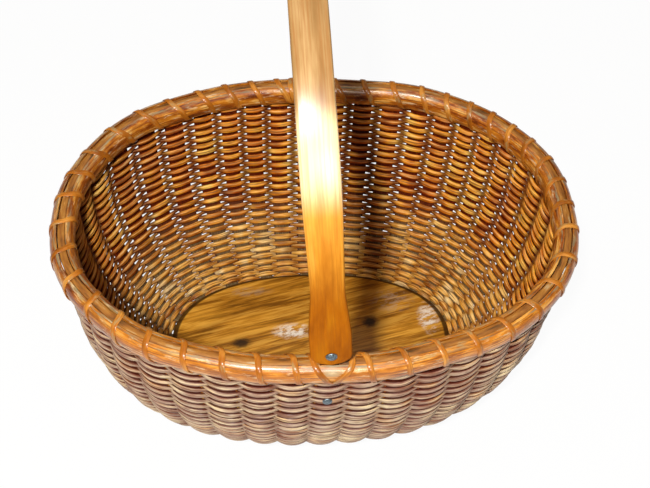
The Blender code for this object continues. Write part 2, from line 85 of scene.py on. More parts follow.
camera_data = bpy.data.cameras.new("photo_camera")
camera_data.sensor_width = sensor_width
camera_data.lens = lens_in_pixels / photo_width * sensor_width
camera = bpy.data.objects.new("photo_camera", camera_data)
bpy.context.scene.collection.objects.link(camera)
camera.matrix_world = Matrix.Translation(look_at + away * camera_distance) @ stance
bpy.context.scene.camera = camera
bpy.context.scene.view_settings.view_transform = "Standard"
print("camera at", [round(value, 3) for value in camera.location])

# %% [markdown]
# ## Colours and small helpers for finishes
#
# A finish is a small network of nodes. These helpers keep each network short enough to read:
# a colour is written the way paint shops write it, and each helper adds one node and hands on
# the socket that the next one needs. A socket knows the network that it belongs to, so a helper
# that is given one adds its node there. The Mix node has sockets for every kind of data, and
# those for colours are known by their numbers.

# %% Helpers for finishes
mix_share, mix_first, mix_second, mix_result = 0, 6, 7, 2


def tone(code):
    """A colour written as six hexadecimal digits, as the light values that a shader expects."""
    parts = [int(code[i:i + 2], 16) / 255 for i in (0, 2, 4)]
    return [p / 12.92 if p <= 0.04045 else ((p + 0.055) / 1.055) ** 2.4 for p in parts] + [1.0]


def is_socket(value):
    return isinstance(value, bpy.types.NodeSocket)


def add_node(tree, kind, sockets=None, **settings):
    """One node, its settings, and its inputs as plain values or as links."""
    made = tree.nodes.new(kind)
    for name, value in settings.items():
        setattr(made, name, value)
    for name, value in (sockets or {}).items():
        if is_socket(value):
            tree.links.new(value, made.inputs[name])
        else:
            made.inputs[name].default_value = value
    return made


def node_after(kind, sockets, **settings):
    """One node in the network of the first socket that feeds it."""
    tree = next(value.id_data for value in sockets.values() if is_socket(value))
    return add_node(tree, kind, sockets, **settings)


def new_finish(name, roughness, coat=0.0, coat_roughness=0.2, gloss=0.3):
    material = bpy.data.materials.new(name)
    material.use_nodes = True
    shader = material.node_tree.nodes["Principled BSDF"]
    for socket, value in (("Roughness", roughness), ("Specular IOR Level", gloss),
                          ("Coat Weight", coat), ("Coat Roughness", coat_roughness)):
        shader.inputs[socket].default_value = value
    return material, shader


def surface_uv(shader):
    return add_node(shader.id_data, "ShaderNodeTexCoord").outputs["UV"]


def in_space(shader):
    return add_node(shader.id_data, "ShaderNodeTexCoord").outputs["Object"]


def stretch(vector, scale, shift=(0, 0, 0), turn=0.0):
    sockets = {"Vector": vector, "Scale": scale, "Location": shift, "Rotation": (0.0, 0.0, turn)}
    return node_after("ShaderNodeMapping", sockets).outputs["Vector"]


def noise(vector, scale, detail, roughness, distortion=0.0):
    sockets = {"Vector": vector, "Scale": scale, "Detail": detail, "Roughness": roughness,
               "Distortion": distortion}
    return node_after("ShaderNodeTexNoise", sockets).outputs["Fac"]


def grain(vector, scale, detail, roughness, distortion=0.0, shift=(0, 0, 0)):
    """A noise with a scale of its own on each axis, so that it can run along a piece."""
    return noise(stretch(vector, scale, shift), 1.0, detail, roughness, distortion)


def ramp(value, stops):
    """A value turned into colours, or into shares where the stops hold plain numbers."""
    made = node_after("ShaderNodeValToRGB", {"Fac": value})
    elements = made.color_ramp.elements
    while len(elements) < len(stops):
        elements.new(0.5)
    for element, (position, colour) in zip(elements, stops):
        element.position = position
        element.color = tone(colour) if isinstance(colour, str) else (colour, colour, colour, 1.0)
    return made.outputs["Color"]


def mixed(share, first, second):
    """The first colour where the share is zero, the second where it is one."""
    first, second = [tone(value) if isinstance(value, str) else value for value in (first, second)]
    sockets = {mix_share: share, mix_first: first, mix_second: second}
    return node_after("ShaderNodeMix", sockets, data_type="RGBA").outputs[mix_result]


def laid_over(colour, *layers):
    """A colour with others laid over it in turn, each by its own share."""
    for share, layer in layers:
        colour = mixed(share, colour, layer)
    return colour


def reckon(kind, first, second=0.0):
    """A Math node on two values, at least one of them a socket."""
    return node_after("ShaderNodeMath", {0: first, 1: second}, operation=kind).outputs[0]


def times(first, second):
    return reckon("MULTIPLY", first, second)


def plus(first, second):
    return reckon("ADD", first, second)


def between(value, low, high, to_low=0.0, to_high=1.0):
    """A soft step from one result to the other while the value goes from low to high."""
    sockets = {"Value": value, "From Min": low, "From Max": high, "To Min": to_low, "To Max": to_high}
    made = node_after("ShaderNodeMapRange", sockets, interpolation_type="SMOOTHSTEP")
    return made.outputs["Result"]


def axis_of(vector, axis):
    return node_after("ShaderNodeSeparateXYZ", {"Vector": vector}).outputs[axis]


def paint(shader, colour, height, depth, strength):
    """Send the colour, and a height for the fine relief, to the shader."""
    tree = shader.id_data
    tree.links.new(colour, shader.inputs["Base Color"])
    sockets = {"Height": height, "Distance": depth, "Strength": strength}
    relief = add_node(tree, "ShaderNodeBump", sockets)
    tree.links.new(relief.outputs["Normal"], shader.inputs["Normal"])


# %% [markdown]
# ## Floor and light
#
# The photograph was taken on a white ground with a small bright lamp left of the lens, which
# throws the handle's shadow to the right, across the back wall and the board. A broad soft lamp
# overhead and an even sky fill the rest. A window behind the lens shows only as a shine on smooth
# wood. The ground looks white to the camera through its own shader, so that no extra light has to
# fall on the basket.

# %% Floor
floor_size = 6.0
floor_drop = 0.0002
floor_whiteness = 0.95
bpy.ops.mesh.primitive_plane_add(size=floor_size, location=(0.0, 0.0, -floor_drop))
floor = bpy.context.object
floor.name = "studio_floor"
floor_finish, floor_shader = new_finish("studio_white", 0.9, gloss=0.0)
floor_shader.inputs["Base Color"].default_value = tone("F4F4F2")
floor_tree = floor_finish.node_tree
paths = add_node(floor_tree, "ShaderNodeLightPath")
seen = reckon("MAXIMUM", paths.outputs["Is Camera Ray"], paths.outputs["Is Glossy Ray"])
seen = reckon("MAXIMUM", seen, paths.outputs["Is Transmission Ray"])
glow = add_node(floor_tree, "ShaderNodeEmission", {"Color": tone("FFFFFF"), "Strength": 1.0})
blend = node_after("ShaderNodeMixShader", {0: times(seen, floor_whiteness),
                                           1: floor_shader.outputs[0], 2: glow.outputs[0]})
floor_tree.links.new(blend.outputs[0], floor_tree.nodes["Material Output"].inputs["Surface"])
floor.data.materials.append(floor_finish)

# %% Light
sky_strength = 0.19
world = bpy.data.worlds.new("studio_air")
bpy.context.scene.world = world
world.use_nodes = True
sky = world.node_tree.nodes["Background"]
sky.inputs["Color"].default_value = tone("FFF2E0")
sky.inputs["Strength"].default_value = sky_strength


def add_lamp(name, stand, aim, size, power, colour):
    """A round lamp that stands at one point and shines at another."""
    data = bpy.data.lights.new(name, "AREA")
    data.shape = "DISK"
    data.size = size
    data.energy = power
    data.color = tone(colour)[:3]
    lamp = bpy.data.objects.new(name, data)
    bpy.context.scene.collection.objects.link(lamp)
    lamp.location = stand
    lamp.rotation_euler = (Vector(stand) - Vector(aim)).to_track_quat("Z", "Y").to_euler()
    return lamp


basket_middle = (0.0, 0.0, 0.1)
handle_front = (0.0, -0.084, 0.269)
add_lamp("flash", (-0.121, -0.45, 0.765), basket_middle, size=0.045, power=7.8, colour="FFFDF8")
add_lamp("overhead", (0.1, 0.45, 1.6), basket_middle, size=1.2, power=3.0, colour="FFFFFF")
window = add_lamp("window", (0.035, -0.62, 0.52), handle_front, size=0.17, power=2.6, colour="FFFDF4")
window.visible_diffuse = False

# %% [markdown]
# ## The oval
#
# Everything round the basket is measured along one line: the middle of the rim. The board's edge
# is a slightly squared ellipse, and the rim lies a fixed distance outside it. A table of many small
# steps round the oval lets any other piece ask where a given distance along the rim is. The maker
# spaced the staves by eye, so the distance is counted in staves: one pitch for each of them.

# %% The oval
half_length, half_width, board_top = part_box("base_plate")[1]
rim_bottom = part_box("rim_outer_hoop")[0].z
hoop_outer_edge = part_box("rim_outer_hoop")[1].y
outer_hoop_thickness = 0.0044
inner_hoop_thickness = 0.0042
wall_half_gap = 0.0024
oval_fullness = 2.3
oval_steps = 5760
stave_count = 43
right_stave_count = 22
right_spacing = ((0, 0), (0.182, 0.192), (0.318, 0.343), (0.409, 0.449), (0.5, 0.539),
                 (0.591, 0.621), (0.727, 0.735), (0.818, 0.816), (0.909, 0.909), (1, 1))
left_spacing = ((0, 0), (0.048, 0.047), (0.143, 0.129), (0.19, 0.172), (0.286, 0.271),
                (0.381, 0.378), (0.476, 0.465), (0.619, 0.614), (0.762, 0.76),
                (0.857, 0.861), (1, 1))
flare = hoop_outer_edge - outer_hoop_thickness - wall_half_gap - half_width

turn = np.linspace(0, 2 * pi, oval_steps + 1) - pi / 2
power = 2 / oval_fullness


def keep_sign(value, exponent):
    return np.sign(value) * np.abs(value) ** exponent


def squared_circle(angle, exponent):
    """Points of a circle that an exponent below one fills out towards a square."""
    return np.column_stack((keep_sign(np.cos(angle), exponent), keep_sign(np.sin(angle), exponent)))


def unit(vectors):
    return vectors / np.linalg.norm(vectors, axis=-1, keepdims=True)


def run_along(points):
    """The distance run at each point of a line, zero at its first."""
    return np.append(0.0, np.cumsum(np.linalg.norm(np.diff(points, axis=0), axis=1)))


half_sizes = np.array((half_length, half_width))
oval_foot = half_sizes * squared_circle(turn, power)
oval_out = unit(squared_circle(turn, 2 - power) / half_sizes)
oval_run = run_along(oval_foot + flare * oval_out)
rim_length = oval_run[-1]
stave_pitch = rim_length / stave_count
right_part = right_stave_count / stave_count
staves_passed = [part * right_part for part, _ in right_spacing]
staves_passed += [right_part + part * (1 - right_part) for part, _ in left_spacing]
rim_passed = [part / 2 for _, part in right_spacing] + [(1 + part) / 2 for _, part in left_spacing]
oval_distance = rim_length * np.interp(oval_run / rim_length, rim_passed, staves_passed)


def counted(run):
    """The counted distance of a place given by its real distance along the rim."""
    return np.interp(run, oval_run, oval_distance)


def round_oval(table, distance):
    here = np.mod(distance, rim_length)
    return np.stack([np.interp(here, oval_distance, column) for column in table.T], axis=-1)


def place(distance, out, up):
    """Points at rim distances, distances out from the board's edge, and heights."""
    distance, out, up = np.broadcast_arrays(distance, out, up)
    flat = round_oval(oval_foot, distance) + round_oval(oval_out, distance) * out[..., None]
    return np.concatenate((flat, up[..., None]), axis=-1)


def outward(distance):
    flat = round_oval(oval_out, np.asarray(distance, dtype=float))
    return np.concatenate((flat, np.zeros(flat.shape[:-1] + (1,))), axis=-1)


print("rim length %.1f mm, stave pitch %.2f mm" % (1000 * rim_length, 1000 * stave_pitch))

# %% [markdown]
# ## One way to lay long pieces
#
# A strand of cane, a stave, a hoop and the handle are all long pieces with a constant section.
# A curve with a bevel could make them, but then the grain can't be told to follow the piece.
# So each starts as a grid primitive, one row of squares per step along the piece, and its rows are
# laid one after another along the path and rolled round the section. The grid's own UV map then
# runs along the piece, in metres, and the finishes read it.

# %% Laying a grid
weld = 0.000002
smooth_angle = radians(40)


def lay_grid(name, rows):
    """A closed piece from rows of points: first index along the piece, second round it."""
    along, across = rows.shape[0] - 1, rows.shape[1] - 1
    bpy.ops.object.select_all(action="DESELECT")
    bpy.ops.mesh.primitive_grid_add(x_subdivisions=across, y_subdivisions=along)
    piece = bpy.context.object
    piece.name = name
    mesh = piece.data
    mesh.vertices.foreach_set("co", rows.astype(np.float32).ravel())
    corners = np.empty(len(mesh.loops), dtype=np.int32)
    mesh.loops.foreach_get("vertex_index", corners)
    run = run_along(rows.mean(axis=1))
    around = run_along(rows[along // 2])
    uv = np.column_stack((around[corners % (across + 1)], run[corners // (across + 1)]))
    mesh.uv_layers.active.data.foreach_set("uv", uv.astype(np.float32).ravel())
    return piece


def close_piece(piece, angle=smooth_angle):
    """Weld the seam, close the ends, face everything outwards and shade it smooth."""
    bpy.context.view_layer.objects.active = piece
    bpy.ops.object.mode_set(mode="EDIT")
    bpy.ops.mesh.select_all(action="SELECT")
    bpy.ops.mesh.remove_doubles(threshold=weld)
    bpy.ops.mesh.fill_holes(sides=0)
    bpy.ops.mesh.select_all(action="SELECT")
    bpy.ops.mesh.normals_make_consistent(inside=False)
    bpy.ops.object.mode_set(mode="OBJECT")
    bpy.ops.object.shade_smooth_by_angle(angle=angle)
    return piece


def seat(piece, body, slot, finish, *nodes):
    """Give the piece its finish, let it ride on its body and stand for its solids."""
    piece.data.materials.clear()
    piece.data.materials.append(finish)
    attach(piece, body)
    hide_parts(*nodes)


def flat_oval(points, fullness):
    """A closed round section one unit across, its first point repeated at the end."""
    return squared_circle(np.linspace(0, 2 * pi, points + 1), 2 / fullness) / 2


def sweep(middle, wide, thick, section):
    """Rows of points: the section's first number along wide, its second along thick."""
    return (middle[:, None, :] + section[None, :, :1] * wide[:, None, :]
            + section[None, :, 1:] * thick[:, None, :])


# %% [markdown]
# ## Board
#
# The bottom is one oval board of oak, its grain a little turned from the long axis. It starts as
# a circle primitive with as many corners as the curve needs, whose corners are moved to the
# oval's foot line. An extrude gives it thickness and a bevel breaks both edges. The wood is a
# broad figure and fine pores, both stretched along the grain. A mapping turns what it has
# already scaled, so the turn has a mapping of its own before the one that stretches.

# %% Finish: oak board
board_brown, board_shader = new_finish("board_oak", 0.42, 0.12, gloss=0.2)
grain_turn = radians(-14)
board_point = in_space(board_shader)
along_grain = stretch(board_point, (1.0, 1.0, 1.0), turn=grain_turn)
fine = grain(along_grain, (26, 420, 60), 6, 0.65, 0.4)
broad = grain(along_grain, (11, 75, 20), 4, 0.55, 0.8)
figure = ramp(broad, [(0.28, "5E3806"), (0.43, "8C5812"), (0.55, "B47A20"), (0.7, "D0922E")])
pores = ramp(fine, [(0.4, "522E04"), (0.5, "BA7C20"), (0.6, "ECB24A")])
board_colour = mixed(0.5, figure, pores)

# %% Finish: knots, scuffed patches and painted glints on the board
spot_wobble = 0.35
spot_noise = (2.6, 4.0, 0.6)
spot_depth = 0.02
knots = (((0.04, 0.0121), (0.0075, 0.006), 0.92), ((-0.0465, -0.0014), (0.0085, 0.005), 0.9))
# The two near-white patches are painted highlights, glints on the varnish; the two grey-brown ones are
# scuff marks.
scuffs_and_glints = (((-0.0125, 0.0067), (0.017, 0.0075), 0.78, "F2ECE0"),
          ((0.08, 0.014), (0.0095, 0.015), 0.78, "F0E8DA"),
          ((0.056, 0.029), (0.02, 0.012), 0.42, "A89684"),
          ((-0.0402, 0.04), (0.018, 0.005), 0.4, "A08C78"))


def spot(vector, where, size, soft):
    """A share that is one inside an uneven patch round a place and fades out at its edge."""
    shift = tuple(-value / wide for value, wide in zip(where, size))
    local = stretch(vector, tuple(1 / wide for wide in size), shift)
    edge = noise(local, *spot_noise)
    reach = node_after("ShaderNodeVectorMath", {0: local}, operation="LENGTH").outputs["Value"]
    reach = plus(reach, times(edge, spot_wobble * 2))
    return between(reach, 1.0 + spot_wobble, 1.0 + spot_wobble - soft)


def board_spot(where, size):
    return spot(board_point, (*where, board_top), (*size, spot_depth), 0.7)


for where, size, share in knots:
    board_colour = mixed(times(board_spot(where, size), share), board_colour, "1E1408")
flecks = between(grain(along_grain, (150, 420, 60), 5, 0.7), 0.43, 0.57)
# Scuff marks and painted varnish glints, laid where the fine flecks are bright.
for where, size, share, colour in scuffs_and_glints:
    scuff_and_glint = times(board_spot(where, size), flecks)
    board_colour = mixed(times(scuff_and_glint, share), board_colour, colour)

# %% Finish: painted shade at the board's edge
groove_shade_starts, groove_shade_full = 0.905, 0.935
edge_reach = 0.0
for axis, half_size in (("X", half_length), ("Y", half_width)):
    share = times(axis_of(board_point, axis), 1 / half_size)
    edge_reach = plus(reckon("POWER", reckon("ABSOLUTE", share), oval_fullness), edge_reach)
# Painted shade: a dark band round the board's edge, for the shade where the wall stands in the groove.
groove_shade = times(between(edge_reach, groove_shade_starts, groove_shade_full), 0.9)
board_colour = mixed(groove_shade, board_colour, "2A1604")
paint(board_shader, board_colour, fine, 0.0004, 0.6)

# %% Board
board_corners = 240
board_edge_round = 0.0012


def apply_all(piece):
    """Apply all modifiers of one piece, with nothing else selected."""
    bpy.ops.object.select_all(action="DESELECT")
    piece.select_set(True)
    bpy.context.view_layer.objects.active = piece
    for modifier in list(piece.modifiers):
        bpy.ops.object.modifier_apply(modifier=modifier.name)


def break_edges(piece, width, segments, sharper_than):
    """Bevel the edges that turn by more than an angle, and shade the piece smooth."""
    bevel = piece.modifiers.new("broken edges", "BEVEL")
    bevel.width = width
    bevel.segments = segments
    bevel.limit_method = "ANGLE"
    bevel.angle_limit = sharper_than
    apply_all(piece)
    bpy.ops.object.shade_smooth_by_angle(angle=smooth_angle)


bpy.ops.mesh.primitive_circle_add(vertices=board_corners, radius=half_length, fill_type="NGON")
board = bpy.context.object
board.name = "board"
board_outline = place(np.arange(board_corners) * rim_length / board_corners, 0.0, 0.0)
board.data.vertices.foreach_set("co", board_outline.astype(np.float32).ravel())
bpy.ops.object.mode_set(mode="EDIT")
bpy.ops.mesh.select_all(action="SELECT")
bpy.ops.mesh.extrude_region_move(TRANSFORM_OT_translate={"value": (0.0, 0.0, board_top)})
bpy.ops.mesh.select_all(action="SELECT")
bpy.ops.mesh.normals_make_consistent(inside=False)
bpy.ops.object.mode_set(mode="OBJECT")
break_edges(board, board_edge_round, 3, radians(50))
seat(board, "basket", "board_oak", board_brown, "base_plate")
print("board %.1f x %.1f mm" % (2000 * half_length, 2000 * half_width))

# %% [markdown]
# ## The wall's own line
#
# Seen in section, the wall leaves the board's groove lying flat, swings up through a quarter of a
# tall ellipse, and stands upright for the last part. One table holds that line with its length, so
# that rows of cane can be counted along the wall instead of by height.

# %% Wall line
groove_middle = board_top / 2
wall_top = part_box("woven_wall")[1].z
belly_share = 0.72
belly_power = 1.08
belly_steps = 400
swing = np.linspace(0, pi / 2, belly_steps)
belly_height = belly_share * (wall_top - groove_middle)
wall_line = np.column_stack((np.append(flare * np.sin(swing) ** belly_power, flare),
                             np.append(groove_middle + belly_height * (1 - np.cos(swing)), wall_top)))
line_length = run_along(wall_line)
wall_length = line_length[-1]
line_slope = unit(np.gradient(wall_line, line_length, axis=0))


def wall_at(length):
    """Distance out, height, and the two parts of the wall's own direction at a length."""
    return [np.interp(length, line_length, column) for column in (*wall_line.T, *line_slope.T)]


def wall_frame(distance, length, depth=0.0):
    """Points on the wall moved outwards by a depth, with the directions up and out of the wall."""
    out, up, lean_out, lean_up = wall_at(length)
    plan = outward(distance)
    upward = plan * lean_out[..., None]
    upward[..., 2] += lean_up
    facing = plan * lean_up[..., None]
    facing[..., 2] -= lean_out
    return place(distance, out, up) + facing * np.asarray(depth)[..., None], upward, facing


print("wall length %.1f mm" % (1000 * wall_length))

# %% [markdown]
# ## Staves
#
# Forty-three thin hardwood staves stand in the board's groove. Each is a strip that grows wider
# as the oval grows, with softened edges. They show between the arcs of cane: dark red-brown
# painted shade high on the wall, lighter painted light near the board.

# %% Finish: staves
stave_wood, stave_shader = new_finish("stave_wood", 0.6, gloss=0.1)
stave_grain = grain(surface_uv(stave_shader), (2600, 60, 1), 4, 0.6)
# Painted shade and light: the staves are dark red-brown high up, where the cane shades them, and lighter
# near the board, where the lamps reach them.
stave_in_shade = ramp(stave_grain, [(0.3, "380C02"), (0.55, "621C04"), (0.75, "883C0C")])
stave_in_light = ramp(stave_grain, [(0.3, "3E2C16"), (0.55, "70593A"), (0.75, "94805C")])
near_board = between(axis_of(in_space(stave_shader), "Z"), 0.060, 0.020)
paint(stave_shader, mixed(near_board, stave_in_shade, stave_in_light), stave_grain, 0.0002, 0.4)

# %% Staves
stave_thickness = 0.0016
stave_width_share = 0.64
stave_steps = 36
groove_depth = 0.0055
stave_section = flat_oval(10, 2.0)
for index in range(stave_count):
    length = np.concatenate(([-groove_depth], np.linspace(0, wall_length, stave_steps)))
    distance = np.full(length.shape, index * stave_pitch)
    middle, upward, facing = wall_frame(distance, np.maximum(length, 0))
    middle += outward(distance) * np.minimum(length, 0)[:, None]
    out = wall_at(np.maximum(length, 0))[0]
    edge = place(distance + stave_pitch / 2, out, 0.0) - place(distance - stave_pitch / 2, out, 0.0)
    rows = sweep(middle, edge * stave_width_share, facing * stave_thickness, stave_section)
    stave = close_piece(lay_grid("stave_strip_%02d" % (index + 1), rows))
    seat(stave, "basket", "stave_wood", stave_wood, "stave_%02d" % (index + 1))
print("staves:", stave_count)

# %% [markdown]
# ## Weaver
#
# One long cane climbs the wall in a spiral, over one stave and under the next. Because the number
# of staves is odd, it changes sides on each round by itself: a plain wave along the whole length
# is enough. The wave is squared off a little, since cane lies flat on a stave and then crosses the
# gap quickly. Small random changes in height, depth and width stand for the hand at work.
#
# Each point of the cane carries three marks: the side of the wall that it is on, how far it faces
# outwards, and how high it sits on the cane. The finish reads them to paint highlights on the upper
# edges and to paint shade on what lies between two rows or under a crossing.

# %% Finish: woven cane
cane, cane_shader = new_finish("weave_cane", 0.5, 0.05, 0.25, 0.12)
cane_uv = surface_uv(cane_shader)
cane_point = in_space(cane_shader)
straw_share = 0.62


def mark(word):
    """A number that the cane's mesh carries at each of its points."""
    return add_node(cane_shader.id_data, "ShaderNodeAttribute", attribute_name=word).outputs["Fac"]


side, outer_face, upper = mark("outside"), mark("outer_face"), mark("upper")
strand = grain(cane_uv, (0, 48, 1), 2, 0.6)
cloud = noise(cane_point, 34.0, 3.0, 0.6)
mood = plus(times(strand, 0.55), times(cloud, 0.45))
warm = ramp(mood, [(0.4, "9C3800"), (0.47, "D86C02"), (0.54, "FAA01C"), (0.62, "FFCC5C")])
straw = ramp(mood, [(0.4, "8E5E1A"), (0.47, "CA9438"), (0.54, "E4B85C"), (0.62, "FFEEC0")])
# Painted light: the outside of the wall is a cooler mauve-brown than the inside, standing for the cool
# light that falls on it.
outer = ramp(mood, [(0.4, "885440"), (0.47, "A07E6E"), (0.53, "B29680"), (0.6, "DCC6A0")])
tan = grain(cane_uv, (0, 33, 1), 2, 0.6, shift=(0, 7, 0))
outer = mixed(times(between(tan, 0.5, 0.7), 0.6), outer, "D49C5C")
low_share = times(between(axis_of(cane_point, "Z"), 0.066, 0.012), straw_share)
# Painted shade: the inside of the wall is darkened towards the left end, for the shade that falls there.
left_shade = times(between(axis_of(cane_point, "X"), -0.07, -0.115), 0.42)
inner = laid_over(warm, (low_share, straw), (left_shade, "6A2C04"))
is_outside = between(plus(side, times(outer_face, 0.2)), 0.42, 0.58)

# %% Finish: painted highlights and streaks on the cane
streak = grain(cane_uv, (1000, 55, 1), 4, 0.6)
lit = plus(upper, times(is_outside, 0.1))
# Painted highlight: a light cream band along the upper edge of each strand, on both sides of the wall.
edge_light = times(between(lit, -0.1, 0.45), between(lit, 0.97, 0.75))
cane_colour = laid_over(mixed(is_outside, inner, outer),
                        (times(edge_light, 0.35), mixed(is_outside, "FFCE7C", "ECD8BC")),
                        (ramp(streak, [(0.4, 0.75), (0.56, 0.0)]), "642C04"),
                        (ramp(streak, [(0.56, 0.0), (0.7, 0.5)]), "FADC98"))

# %% Finish: shade between the rows and at the crossings
under = between(plus(upper, times(is_outside, -0.12)), -0.35, -0.8)
faces_out = times(outer_face, between(is_outside, 0.0, 1.0, -1.0, 1.0))
turned_away = between(reckon("SUBTRACT", faces_out, times(is_outside, 0.22)), 0.18, -0.1)
low_inside = times(low_share, between(is_outside, 0.0, 1.0, 1.0, 0.0))
sunk = times(reckon("MAXIMUM", under, turned_away), between(low_inside, 0.0, straw_share, 0.92, 0.5))
crossing = reckon("ABSOLUTE", reckon("SUBTRACT", side, 0.5))
crossing_share = times(between(is_outside, 0.0, 1.0, 0.75, 0.25),
                       between(low_share, 0.0, straw_share, 1.0, 0.35))
crossing = times(between(crossing, 0.4, 0.1), crossing_share)
crevice_shade = mixed(is_outside, "4A1400", "481208")
# Painted shade: the undersides of the strands, the faces turned towards the staves and the crossings
# take the dark colour.
cane_colour = mixed(reckon("MAXIMUM", sunk, crossing), cane_colour, crevice_shade)
paint(cane_shader, cane_colour, streak, 0.0002, 0.5)

# %% Weaver
cane_width = 0.00255
cane_loosening = 0.16
cane_swell = 0.48
cane_thickness = 0.0022
cane_fattening = 0.15
weave_rows = 55
weave_pieces = 3
steps_per_stave = 8
first_row_at = 0.0011
last_row_at = wall_length - 0.0012
row_pitch_shares = ((0.0, 0.78), (0.2, 0.92), (0.45, 1.08), (0.75, 1.08), (1.0, 1.02))
row_drift = 0.00012
depth_drift = 0.05
width_drift = 0.06
wave_squareness = 0.8
weave_clearance = 0.0001
weave_depth = (stave_thickness + cane_thickness * (1 + cane_fattening)) / 2 + weave_clearance
under_rim_squeeze = 0.42
squeeze_starts = wall_length - 0.0165
squeeze_ends = wall_length - 0.0125
cane_section = flat_oval(10, 2.2)
weave_random = np.random.default_rng(43)
crossings = weave_rows * stave_count


def hand(amount, position):
    """A small random change that drifts from one crossing to the next."""
    values = weave_random.normal(0.0, amount, crossings + 2)
    return np.interp(position, np.arange(crossings + 2), values)


position = np.arange(crossings * steps_per_stave + 1) / steps_per_stave
shares, pitches = zip(*row_pitch_shares)
row_share = np.cumsum(np.interp(position / crossings, shares, pitches))
row_share = (row_share - row_share[0]) / (row_share[-1] - row_share[0])
length = first_row_at + (last_row_at - first_row_at) * row_share + hand(row_drift, position)
wave = np.tanh(wave_squareness * np.cos(pi * position)) / np.tanh(wave_squareness)
squeezed = np.clip((length - squeeze_starts) / (squeeze_ends - squeeze_starts), 0, 1)
squeeze = 1 - under_rim_squeeze * squeezed
depth = weave_depth * squeeze * wave * (1 + hand(depth_drift, position))
distance = position * stave_pitch
middle, upward, facing = wall_frame(distance, length, depth)
forward = unit(np.gradient(middle, axis=0))
thick = unit(np.cross(forward, upward))
wide = np.cross(thick, forward)
over_stave = 1 - (1 - wave ** 2) ** 3
loose = np.clip(-middle[:, 0] / half_length, 0, 1)
tall = cane_width * (1 + cane_swell * over_stave - cane_loosening * loose + hand(width_drift, position))
deep = cane_thickness * squeeze * (1 + cane_fattening * wave ** 2)
rows = sweep(middle, wide * tall[:, None], thick * deep[:, None], cane_section)
ring = cane_section.shape[0]
marks = {"outside": np.repeat(0.5 + 0.5 * wave, ring),
         "outer_face": np.tile(2 * cane_section[:, 1], len(rows)),
         "upper": np.tile(2 * cane_section[:, 0], len(rows))}
piece_steps = crossings * steps_per_stave // weave_pieces
for index in range(weave_pieces):
    first = index * piece_steps
    last = (index + 1) * piece_steps if index < weave_pieces - 1 else len(rows) - 1
    band = lay_grid("weaver_%d" % (index + 1), rows[first:last + 1])
    for word, values in marks.items():
        carried = band.data.attributes.new(word, "FLOAT", "POINT").data
        carried.foreach_set("value", values[first * ring:(last + 1) * ring].astype(np.float32))
    close_piece(band)
    seat(band, "basket", "weave_cane", cane, "woven_wall")
print("weaver: %d rows, %.1f m of cane" % (weave_rows, weave_rows * rim_length))

# %% [markdown]
# ## Rim
#
# Two half-round hoops close the wall's top between them. Their outline in section is one rounded
# shape, split by the gap in which the wall stands. The same outline, grown by the thickness of the
# cane, is the path of the lashing, so the strip hugs the hoops whatever their size.

# %% Rim outline
rim_middle_height = (rim_top + rim_bottom) / 2
rim_half_height = (rim_top - rim_bottom) / 2
rim_fullness = 2.5
rim_random = np.random.default_rng(7)
rim_waves = [(count, rim_random.uniform(0, 2 * pi), rim_random.uniform(0, 2 * pi))
             for count in (2, 3, 5, 8, 13)]
rim_wobble_out = 0.00030
rim_wobble_up = 0.00022


def wobble(distance):
    """Small uneven shifts of the rim, outwards and upwards, the same for all its pieces."""
    angle = 2 * pi * np.asarray(distance) / rim_length
    out = sum(np.sin(count * angle + first) for count, first, _ in rim_waves)
    up = sum(np.sin(count * angle + second) for count, _, second in rim_waves)
    return rim_wobble_out * out, rim_wobble_up * up


def rim_outline(angle, grow=0.0):
    """Section of the closed rim: 0 is its outer side, a quarter turn its top."""
    half = np.where(np.cos(angle) > 0, outer_hoop_thickness, inner_hoop_thickness) + wall_half_gap
    out = (half + grow) * keep_sign(np.cos(angle), 2 / rim_fullness)
    up = (rim_half_height + grow) * keep_sign(np.sin(angle), 2 / rim_fullness)
    return out, rim_middle_height + up


def rim_points(distance, out, up):
    shift_out, shift_up = wobble(distance)
    return place(distance, flare + out + shift_out, up + shift_up)


# %% Finish: hoops
hoop_wood, hoop_shader = new_finish("hoop_wood", 0.4, 0.4, 0.22)
hoop_uv = surface_uv(hoop_shader)
hoop_point = in_space(hoop_shader)
hoop_grain = grain(hoop_uv, (1100, 42, 1), 5, 0.65, 0.3)
hoop_patch = grain(hoop_uv, (210, 48, 1), 4, 0.65)
near_front = between(axis_of(hoop_point, "Y"), -0.05, -0.085)
near_left = between(axis_of(hoop_point, "X"), -0.085, -0.125)
worn_edge = between(axis_of(hoop_uv, "X"), 0.0042, 0.0012)
worn_patch = between(grain(hoop_uv, (600, 60, 1), 4, 0.65), 0.46, 0.6)
scuff = between(grain(hoop_uv, (260, 38, 1), 5, 0.7, shift=(3, 1, 0)), 0.62, 0.7)
# Whitish flecks along the hoops: partly scuff marks, partly painted sheen standing for whitish
# highlights on the glossy wood.
pale_scuff_and_sheen = grain(hoop_uv, (420, 75, 1), 4, 0.7, shift=(7, 2, 0))
bare_place = (0.001, 0.002 - hoop_outer_edge, rim_top - 0.003)
bare_size = (0.008, 0.006, 0.0036)
bare = spot(hoop_point, bare_place, bare_size, 0.8)
hoop_tones = [(0.34, "562002"), (0.44, "A0500A"), (0.55, "CE8020"), (0.67, "F0BC66")]
hoop_colour = laid_over(ramp(hoop_patch, hoop_tones),
                        (times(near_front, 0.45), "DC8A22"),
                        (times(near_left, 0.28), "60300A"),
                        (ramp(hoop_grain, [(0.4, 0.7), (0.52, 0.0)]), "622404"),
                        (times(times(worn_edge, worn_patch), 0.75), "8C8464"),
                        (times(scuff, 0.6), "463A22"),
                        (times(bare, 0.6), "A8A68A"),
                        (ramp(pale_scuff_and_sheen, [(0.56, 0.0), (0.66, 0.6)]), "E6CCA0"))
paint(hoop_shader, hoop_colour, hoop_grain, 0.0003, 0.4)

